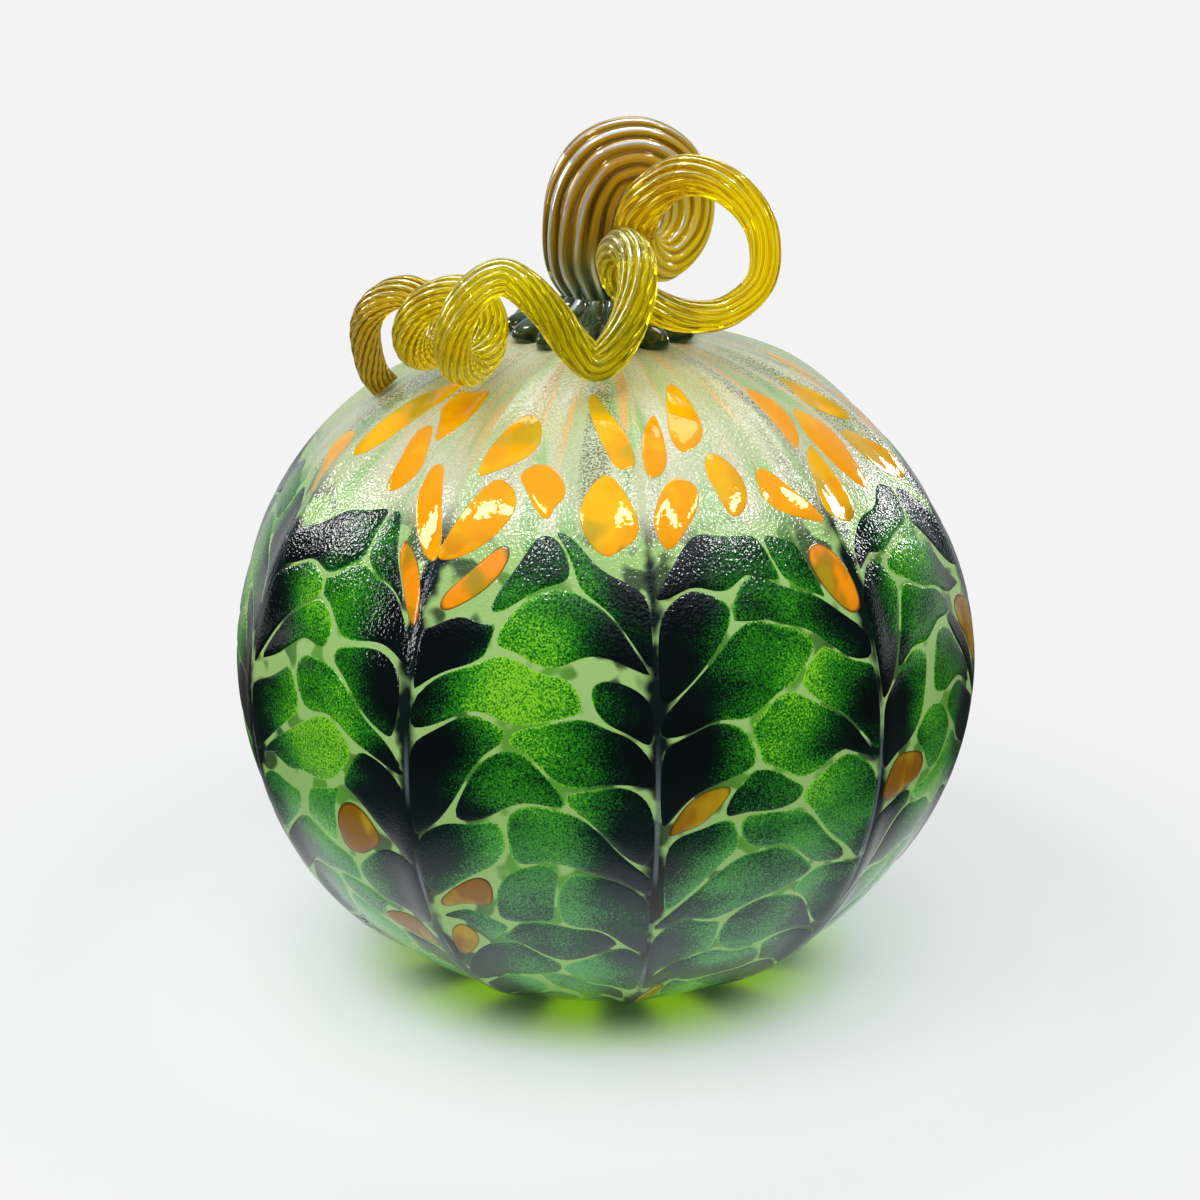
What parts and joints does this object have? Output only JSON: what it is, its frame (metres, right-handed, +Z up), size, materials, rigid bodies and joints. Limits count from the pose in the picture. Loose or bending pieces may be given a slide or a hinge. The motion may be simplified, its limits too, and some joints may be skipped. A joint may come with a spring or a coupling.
{
  "type": "glass pumpkin",
  "caption": "Hollow ribbed glass pumpkin for a shelf or table, with fused shards of coloured glass and a fluted stem drawn into a loop and a curled tendril.",
  "frame": {"origin": "centre of the base ring, on the table", "axes": "+Z up along the body's axis; -Y to the front, the side that the tendril leans over; +X to the right of the front"},
  "size_m": [0.1695, 0.1706, 0.195],
  "materials": {
    "body_glass": "glossy, milky pale yellow-green",
    "stem_glass": "glossy, amber brown with a lustre",
    "loop_glass": "glossy, clear yellow",
    "tendril_glass": "glossy, clear yellow-green",
    "green_glass": "glossy with a fine pebble, deep green",
    "orange_glass": "glossy, opaque orange",
    "amber_glass": "glossy, amber brown"
  },
  "bodies": {
    "root": {"body": "body_glass", "stem": "stem_glass", "loop": "loop_glass", "tendril": "tendril_glass", "green_shards": "green_glass", "orange_chips": "orange_glass", "amber_chips": "amber_glass"}
  },
  "joints": []
}
